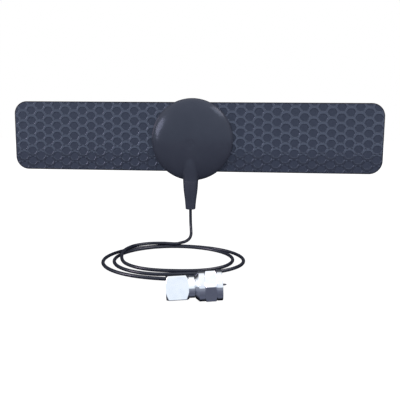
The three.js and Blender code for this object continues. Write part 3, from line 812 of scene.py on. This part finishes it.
def tape(name, shape, y_front, node, holes=()):
    """A foam pad with its paper liner on the wall side; shape(inset) gives the outline."""
    core, paper = shape(0.12), shape(0.0)
    n = len(core)
    levels = [(shape(0.3), y_front, 0), (shape(0.12), y_front + 0.06, 0), (shape(0.20), (y_front - 0.14) / 2, 0), (shape(0.12), -0.16, 0),
              (shape(0.02), -0.14, 1), (paper, -0.11, 1), (paper, -0.03, 1), (shape(0.05), -0.005, 1), (shape(0.5), -0.001, 1)]
    verts, faces, fm = [], [], []
    for pts, y, _ in levels:
        verts += [(px, y, pz) for px, pz in pts]
    for i in range(len(levels) - 1):
        for k in range(n):
            k2 = (k + 1) % n
            faces.append((i * n + k, i * n + k2, (i + 1) * n + k2, (i + 1) * n + k))
            fm.append(levels[i + 1][2])
    cx = sum(p[0] for p in core) / n
    cz = sum(p[1] for p in core) / n
    a, b = len(verts), len(verts) + 1
    verts += [(cx, y_front, cz), (cx, 0.0, cz)]
    last = (len(levels) - 1) * n
    for k in range(n):
        k2 = (k + 1) % n
        faces.append((a, k2, k))
        fm.append(0)
        faces.append((b, last + k, last + k2))
        fm.append(1)
    ob = mesh_object(name, verts, faces, (foam, liner), fm, 50.0)
    put(ob, "antenna", "adhesive_tape", node)
    return ob


def disc_shape(r):
    return lambda inset: [((r - inset) * math.cos(2 * math.pi * k / 96), (r - inset) * math.sin(2 * math.pi * k / 96)) for k in range(96)]


def strip_shape(cx, cz, w, h, r):
    def shape(inset):
        pts = []
        ww, hh, rr = w / 2 - inset, h / 2 - inset, r - inset
        for sx, sz, a0 in ((1, -1, -90), (1, 1, 0), (-1, 1, 90), (-1, -1, 180)):
            for k in range(11):
                a = math.radians(a0 + 9 * k)
                pts.append((cx + sx * (ww - rr) + rr * math.cos(a), cz + sz * (hh - rr) + rr * math.sin(a)))
        return pts
    return shape


tape("hub_tape", disc_shape(11.5), -0.8, "hub_adhesive_disc")
tape("left_tape", strip_shape(1.1 - 80, 1.3, 24, 14, 3), -2.58, "left_adhesive_strip")
tape("right_tape", strip_shape(1.1 + 80, 1.3, 24, 14, 3), -2.58, "right_adhesive_strip")

# ------------------------------------------------------------------ boot
boot_profile = [(1.12, -17.6), (1.5, -17.4), (1.8, -18.8), (2.75, -18.8), (2.75, -20.3), (2.3, -20.3), (2.3, -20.9), (4.02, -21.1), (4.09, -22.0)]
for z, r in ((-23.2, 4.05), (-24.2, 3.98), (-25.3, 3.92), (-26.3, 3.85), (-27.8, 3.69), (-29.4, 3.5), (-31.1, 3.27), (-32.8, 3.04),
             (-34.0, 2.93), (-35.2, 2.83), (-36.1, 2.76), (-36.8, 2.71)):
    boot_profile.append((r, z))
boot_profile += rounded([(2.69, -37.0), (2.62, -37.5), (1.15, -37.5), (0.86, -37.1)], [0, 0.28, 0.22, 0], 6)[1:-1]
boot_profile += [(0.88, -36.9), (0.88, -30.0), (1.12, -28.0)]
boot = lathe("lead_boot", boot_profile, 72, "z", (LEAD_X, LEAD_Y), (boot_mat,), 40.0, closed=True)
put(boot, "antenna", "boot_plastic", "cable_boot")


# ------------------------------------------------------------------ plug
def polygon_ring(sides, apothem, corner, flat_pts, corner_pts, turn=0.0):
    """(radius, angle) round a polygon with rounded corners, first flat facing angle turn."""
    pts = []
    half = math.pi / sides
    reach = apothem - corner
    for i in range(sides):
        mid = turn + 2 * half * i
        edge = reach * math.tan(half)
        n, t = Vector((math.cos(mid), math.sin(mid))), Vector((-math.sin(mid), math.cos(mid)))
        for k in range(flat_pts):
            s = -1 + 2 * k / (flat_pts - 1)
            pts.append(n * apothem + t * (edge * s))
        c = n * reach + t * edge
        for k in range(1, corner_pts):
            a = mid + 2 * half * k / corner_pts
            pts.append(c + Vector((math.cos(a), math.sin(a))) * corner)
    return [(p.length, math.atan2(p.y, p.x)) for p in pts]


def smin(a, b, k):
    d = max(k - abs(a - b), 0.0)
    return min(a, b) - d * d / (4 * k)


# elbow: a square bar with its corners turned off at both ends, a round neck and the spigot for the nut
square = polygon_ring(4, 4.4, 0.28, 19, 5)
cols = [a for _, a in square]


def circle_row(r):
    return [(r, a) for a in cols]


def cone(x):
    full = 4.4 * math.sqrt(2) + 0.1
    e = min(x + 8.3, -x)
    return 4.75 + (full - 4.75) * e / 1.0


rows = [(-7.55, circle_row(2.72)), (-8.05, circle_row(2.72)), (-8.23, circle_row(2.84)), (-8.3, circle_row(2.95)), (-8.3, circle_row(3.9))]
edge_x = [-8.3, -8.27, -8.2, -8.1, -7.98, -7.85, -7.7, -7.55, -7.4, -7.25, -7.1, -6.9]
for x in edge_x + [-5.6, -2.8] + [-8.3 - e for e in reversed(edge_x)]:
    soft = 0.05 * max(0.0, 1 - min(x + 8.3, -x) / 0.12)
    rows.append((x, [(smin(r - soft, cone(x), 0.16), a) for r, a in square]))
rows += [(0.0, circle_row(4.35)), (0.06, circle_row(4.2))]
for r, x in rounded([(4.15, 0.1), (4.15, 2.2), (3.1, 2.2), (3.1, 4.3), (2.5, 4.3), (2.5, 5.15), (3.1, 5.15), (3.1, 6.2), (2.0, 6.2), (2.0, 5.0)],
                    [0, 0.18, 0.1, 0.05, 0.05, 0.05, 0.05, 0.22, 0.12, 0], 3):
    rows.append((x, circle_row(r)))
rows += [(-1.6, circle_row(2.0)), (-1.6, circle_row(2.4)), (-7.2, circle_row(2.4))]
elbow = sweep_rows("elbow", rows, (nickel,), 32.0, ELBOW)
hole = lathe("hole", [(0, 0), (1.95, 0), (1.95, 4.2), (2.15, 4.42), (2.15, 6), (0, 6)], 48, "y", (-4.15, 0), matrix=ELBOW)
elbow = boolean(elbow, [hole], sharp=32.0)
put(elbow, "antenna", "nickel", "elbow_body")

cap = lathe("elbow_plug_disc", rounded([(0, -8.08), (0.5, -8.08), (0.75, -8.00), (2.1, -8.00), (2.25, -8.1), (2.66, -8.1), (2.66, -7.3), (0, -7.3)],
            [0, 0.1, 0.1, 0.1, 0.08, 0.12, 0.08, 0], 3), 64, "x", (0, 0), (turned,), 30.0, matrix=ELBOW)
put(cap, "antenna", "nickel", "elbow_cap")


def ferrule():
    """A thin tube, round where it enters the elbow and pressed to a rounded hexagon over the lead."""
    hexed = polygon_ring(6, 1.84, 0.5, 7, 4)
    ang = [a for _, a in hexed]
    rows = []
    for r, y in rounded([(1.12, 2.5), (1.62, 2.5), (1.62, 4.3), (1.95, 4.5), (1.95, 5.0)], [0, 0.12, 0.08, 0.12, 0], 3):
        rows.append((y, [(r, a) for a in ang]))
    for y, t in ((5.25, 0.35), (5.5, 0.8), (5.7, 1.0), (7.6, 1.0), (7.8, 0.8), (8.0, 0.35)):
        rows.append((y, [(1.95 + (r - 1.95) * t, a) for r, a in hexed]))
    for r, y in rounded([(1.95, 8.1), (1.97, 8.6), (1.2, 8.6), (1.12, 8.2)], [0, 0.16, 0.1, 0], 3):
        rows.append((y, [(r, a) for a in ang]))
    verts, faces = [], []
    n = len(ang)
    for y, rg in rows:
        verts += [(-4.15 + r * math.cos(a), y, r * math.sin(a)) for r, a in rg]
    m = len(rows)
    for i in range(m):
        j = (i + 1) % m
        faces += [(i * n + k, i * n + (k + 1) % n, j * n + (k + 1) % n, j * n + k) for k in range(n)]
    return mesh_object("lead_ferrule", verts, faces, (turned,), None, 32.0, ELBOW)


put(ferrule(), "antenna", "nickel", "crimp_ferrule")

ins = lathe("spigot_insulator", rounded([(0.68, -1.3), (1.7, -1.3), (1.7, 6.2), (1.45, 6.2), (1.3, 5.95), (0.95, 5.95), (0.68, 6.1)],
            [0, 0.1, 0.12, 0.1, 0.1, 0.1, 0], 3), 56, "x", (0, 0), (insulator_mat,), 32.0, PLUG, closed=True)
put(ins, "antenna", "insulator", "plug_insulator")
pin = lathe("contact_pin", rounded([(0, -5.1), (0.6, -5.1), (0.6, -2.2), (0.35, -2.0), (0.35, 13.2), (0.30, 13.62), (0.16, 13.9), (0, 14.0)],
            [0, 0.06, 0.06, 0.05, 0.1, 0.1, 0.08, 0], 3), 32, "x", (0, 0), (pin_mat,), 35.0, PLUG)
put(pin, "antenna", "nickel", "centre_pin")


def snap_ring():
    rows, faces, verts = 56, [], []
    sec = rounded([(2.82, 4.47), (4.13, 4.47), (4.13, 4.93), (2.82, 4.93)], 0.09, 2, True)
    m = len(sec)
    for i in range(rows + 1):
        a = 0.38 + (2 * math.pi - 0.76) * i / rows
        verts += [(x, -r * math.sin(a), r * math.cos(a)) for r, x in sec]
    for i in range(rows):
        faces += [(i * m + k, i * m + (k + 1) % m, (i + 1) * m + (k + 1) % m, (i + 1) * m + k) for k in range(m)]
    faces += [tuple(range(m)), tuple(rows * m + k for k in reversed(range(m)))]
    return mesh_object("retaining_ring", verts, faces, (steel,), None, 40.0, PLUG)


put(snap_ring(), "antenna", "steel", "snap_ring")

# nut: one corner stands 11 degrees above the front; the bore has the socket's thread
hexagon = polygon_ring(6, 5.55, 0.22, 13, 4, turn=math.radians(180 - 11 + 30))
hcols = [a for _, a in hexagon]


def nut_circle(r):
    return [(r, a) for a in hcols]


def nut_chamfer(x):
    e = min(x - 5.8, 10.1 - x)
    return 5.66 + e / 0.5 * 0.74


rows = []
for r, x in rounded([(3.4, 4.1), (3.4, 2.27), (4.3, 2.27), (5.65, 3.75), (5.65, 5.6)], [0, 0.08, 0.14, 0.2, 0], 3):
    rows.append((x, nut_circle(r)))
rows += [(5.74, nut_circle(5.64)), (5.79, nut_circle(5.60)), (5.8, nut_circle(5.57))]
for x in (5.8, 5.83, 5.9, 6.0, 6.1, 6.2, 6.3, 6.42, 6.6, 7.95, 9.3, 9.48, 9.6, 9.7, 9.8, 9.9, 10.0, 10.07, 10.1):
    rows.append((x, [(smin(r, nut_chamfer(x), 0.12), a) for r, a in hexagon]))
rows += [(10.1, nut_circle(5.54)), (10.13, nut_circle(5.48)), (10.2, nut_circle(5.46)), (10.27, nut_circle(5.5)), (10.32, nut_circle(5.64))]
for r, x in rounded([(5.7, 10.4), (5.7, 12.3), (4.75, 12.3), (4.42, 11.97)], [0, 0.2, 0.06, 0], 4):
    rows.append((x, nut_circle(r)))
p_thread, x = 25.4 / 32, 11.95
steps = int((11.95 - 5.2) / (p_thread / 8))
for k in range(steps + 1):
    x = 11.95 - (11.95 - 5.2) * k / steps
    fade = min(1.0, k / 6, (steps - k) / 6)
    ring_row = []
    for a in hcols:
        w = (x / p_thread - a / (2 * math.pi)) % 1.0
        tri = 1 - abs(2 * w - 1)
        ring_row.append((4.42 + 0.32 * fade * min(max(tri * 1.25 - 0.1, 0.0), 1.0), a))
    rows.append((x, ring_row))
rows += [(5.1, nut_circle(4.72)), (4.1, nut_circle(4.72))]
nut = sweep_rows("hex_nut", rows, (turned,), 32.0, PLUG)
put(nut, "nut", "nickel", "coupling_nut")

# ------------------------------------------------------------------ inner parts that keep their CAD shape
LOOKS = {
    "element_left": foil_mat, "element_right": foil_mat, "matching_board": board_mat,
    "feed_rivet_left": brass, "feed_rivet_right": brass, "feed_washer_left": tin, "feed_washer_right": tin,
    "balun_core": ferrite_mat, "balun_primary": copper, "balun_secondary": copper,
    "matching_capacitor_left": chip_mat, "matching_capacitor_right": chip_mat, "static_bleed_resistor": ferrite_mat,
    "cable_lead_in": jacket, "cable_core_hub_end": insulator_mat, "cable_core_plug_end": insulator_mat, "braid_clamp": tin,
}
for name, mat in LOOKS.items():
    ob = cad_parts[name]
    if not ob.material_slots:
        ob.data.materials.append(mat)
    for s in ob.material_slots:
        s.link = "OBJECT"
        s.material = mat

# ------------------------------------------------------------------ floor, light
floor_mat = surface("studio_floor", lin(92, 92, 94), lin(98, 98, 100), (0.85, 0.95), spec=0.0,
                    tone_scale=6, rough_scale=10, grain_scale=60, grain=0.02, grain_depth=0.2 * MM, glow=0.98)
fv, ff = [], []
R0, rings_n, seg_n = 1.6, 10, 72
for i in range(1, rings_n + 1):
    fv += [(R0 * i / rings_n * math.cos(2 * math.pi * k / seg_n), -0.05 + R0 * i / rings_n * math.sin(2 * math.pi * k / seg_n), -56.02 * MM) for k in range(seg_n)]
for i in range(rings_n - 1):
    ff += [(i * seg_n + k, i * seg_n + (k + 1) % seg_n, (i + 1) * seg_n + (k + 1) % seg_n, (i + 1) * seg_n + k) for k in range(seg_n)]
ff.append(tuple(range(seg_n)))
fm_ = bpy.data.meshes.new("floor")
fm_.from_pydata(fv, [], ff)
fm_.materials.append(floor_mat)
floor = bpy.data.objects.new("floor", fm_)
scene.collection.objects.link(floor)
floor.visible_glossy = False
floor.visible_diffuse = False

world = bpy.data.worlds.new("studio")
scene.world = world
world.use_nodes = True
wt = world.node_tree
wt.nodes.clear()
w_out = wt.nodes.new("ShaderNodeOutputWorld")
w_mix = wt.nodes.new("ShaderNodeMixShader")
w_path = wt.nodes.new("ShaderNodeLightPath")
w_white = wt.nodes.new("ShaderNodeBackground")
w_white.inputs["Color"].default_value = (1, 1, 1, 1)
w_white.inputs["Strength"].default_value = 1.0
w_env = wt.nodes.new("ShaderNodeBackground")
w_env.inputs["Strength"].default_value = 1.0
w_coord = wt.nodes.new("ShaderNodeTexCoord")
w_sep = wt.nodes.new("ShaderNodeSeparateXYZ")
w_map = wt.nodes.new("ShaderNodeMapRange")
w_map.inputs["From Min"].default_value, w_map.inputs["From Max"].default_value = -1.0, 1.0
w_ramp = wt.nodes.new("ShaderNodeValToRGB")
els = w_ramp.color_ramp.elements


def at_el(deg):
    return (math.sin(math.radians(deg)) + 1) / 2


stops = [(-90, (0.115, 0.125, 0.175)), (-60, (0.10, 0.108, 0.15)), (-30, (0.15, 0.16, 0.215)), (-14, (0.27, 0.29, 0.355)),
         (-3.65, (0.26, 0.27, 0.31)), (-3.4, (0.95, 1.03, 1.12)), (9, (0.91, 0.97, 1.05)), (28, (1.15, 1.17, 1.20)), (90, (1.18, 1.2, 1.22))]
# the room behind the part is dimmer than the room in front of it, most of all near the horizon
BEHIND, HIGH = (-0.05, 0.45, 0.06), (44, 80)
els[0].position, els[0].color = at_el(stops[0][0]), (*stops[0][1], 1)
els[1].position, els[1].color = at_el(stops[-1][0]), (*stops[-1][1], 1)
for deg, c in stops[1:-1]:
    e = els.new(at_el(deg))
    e.color = (*c, 1)
wt.links.new(w_coord.outputs["Generated"], w_sep.inputs[0])
wt.links.new(w_sep.outputs["Z"], w_map.inputs["Value"])
wt.links.new(w_map.outputs["Result"], w_ramp.inputs["Fac"])
w_back = wt.nodes.new("ShaderNodeMapRange")
w_back.interpolation_type = "SMOOTHSTEP"
w_back.inputs["From Min"].default_value, w_back.inputs["From Max"].default_value = BEHIND[0], BEHIND[1]
w_back.inputs["To Min"].default_value, w_back.inputs["To Max"].default_value = 0.0, 1.0 - BEHIND[2]
w_high = wt.nodes.new("ShaderNodeMapRange")
w_high.interpolation_type = "SMOOTHSTEP"
w_high.inputs["From Min"].default_value, w_high.inputs["From Max"].default_value = math.sin(math.radians(HIGH[0])), math.sin(math.radians(HIGH[1]))
w_high.inputs["To Min"].default_value, w_high.inputs["To Max"].default_value = 1.0, 0.0
w_both = wt.nodes.new("ShaderNodeMath")
w_both.operation = "MULTIPLY"
w_dim = wt.nodes.new("ShaderNodeMath")
w_dim.operation = "SUBTRACT"
w_dim.inputs[0].default_value = 1.0
wt.links.new(w_sep.outputs["Y"], w_back.inputs["Value"])
wt.links.new(w_sep.outputs["Z"], w_high.inputs["Value"])
wt.links.new(w_back.outputs["Result"], w_both.inputs[0])
wt.links.new(w_high.outputs["Result"], w_both.inputs[1])
wt.links.new(w_both.outputs[0], w_dim.inputs[1])
wt.links.new(w_dim.outputs[0], w_env.inputs["Strength"])
wt.links.new(w_ramp.outputs["Color"], w_env.inputs["Color"])
wt.links.new(w_path.outputs["Is Camera Ray"], w_mix.inputs["Fac"])
wt.links.new(w_env.outputs[0], w_mix.inputs[1])
wt.links.new(w_white.outputs[0], w_mix.inputs[2])
wt.links.new(w_mix.outputs[0], w_out.inputs["Surface"])


def softbox(name, azimuth, elevation, distance, width, height, radiance, colour=(1, 1, 1), roll=0.0):
    """An area light seen from the hub at that azimuth (0 is towards the front, 90 is +X) and elevation, aimed at the hub."""
    a, e = math.radians(azimuth), math.radians(elevation)
    d = Vector((math.sin(a) * math.cos(e), -math.cos(a) * math.cos(e), math.sin(e)))
    ld = bpy.data.lights.new(name, "AREA")
    ld.shape, ld.size, ld.size_y = "RECTANGLE", width, height
    ld.energy = radiance * math.pi * width * height
    ld.color = colour
    lo = bpy.data.objects.new(name, ld)
    lo.visible_diffuse = False
    scene.collection.objects.link(lo)
    side = Vector((0, 0, 1)).cross(d).normalized()
    tall = d.cross(side)
    c, s_ = math.cos(math.radians(roll)), math.sin(math.radians(roll))
    x_, y_ = side * c + tall * s_, tall * c - side * s_
    p = d * distance
    lo.matrix_world = Matrix(((x_.x, y_.x, d.x, p.x), (x_.y, y_.y, d.y, p.y), (x_.z, y_.z, d.z, p.z), (0, 0, 0, 1)))
    return lo


softbox("left_box", -63, 15, 0.9, 0.34, 0.40, 13.0, (1.0, 0.78, 0.90), roll=-35)
softbox("right_box", 78, 50, 0.9, 0.66, 0.34, 7.4, (1.0, 0.83, 0.87))
# soft fill for the back, kept out of the mirror-like faces
back_fill = softbox("back_fill", 180, 16, 1.3, 1.1, 0.7, 3.4, (0.94, 0.97, 1.0))
back_fill.visible_diffuse, back_fill.visible_glossy = True, False

scene.view_settings.view_transform = "Standard"
scene.view_settings.look = "None"
scene.view_settings.exposure = 0.0
scene.view_settings.gamma = 1.0

bpy.context.view_layer.update()
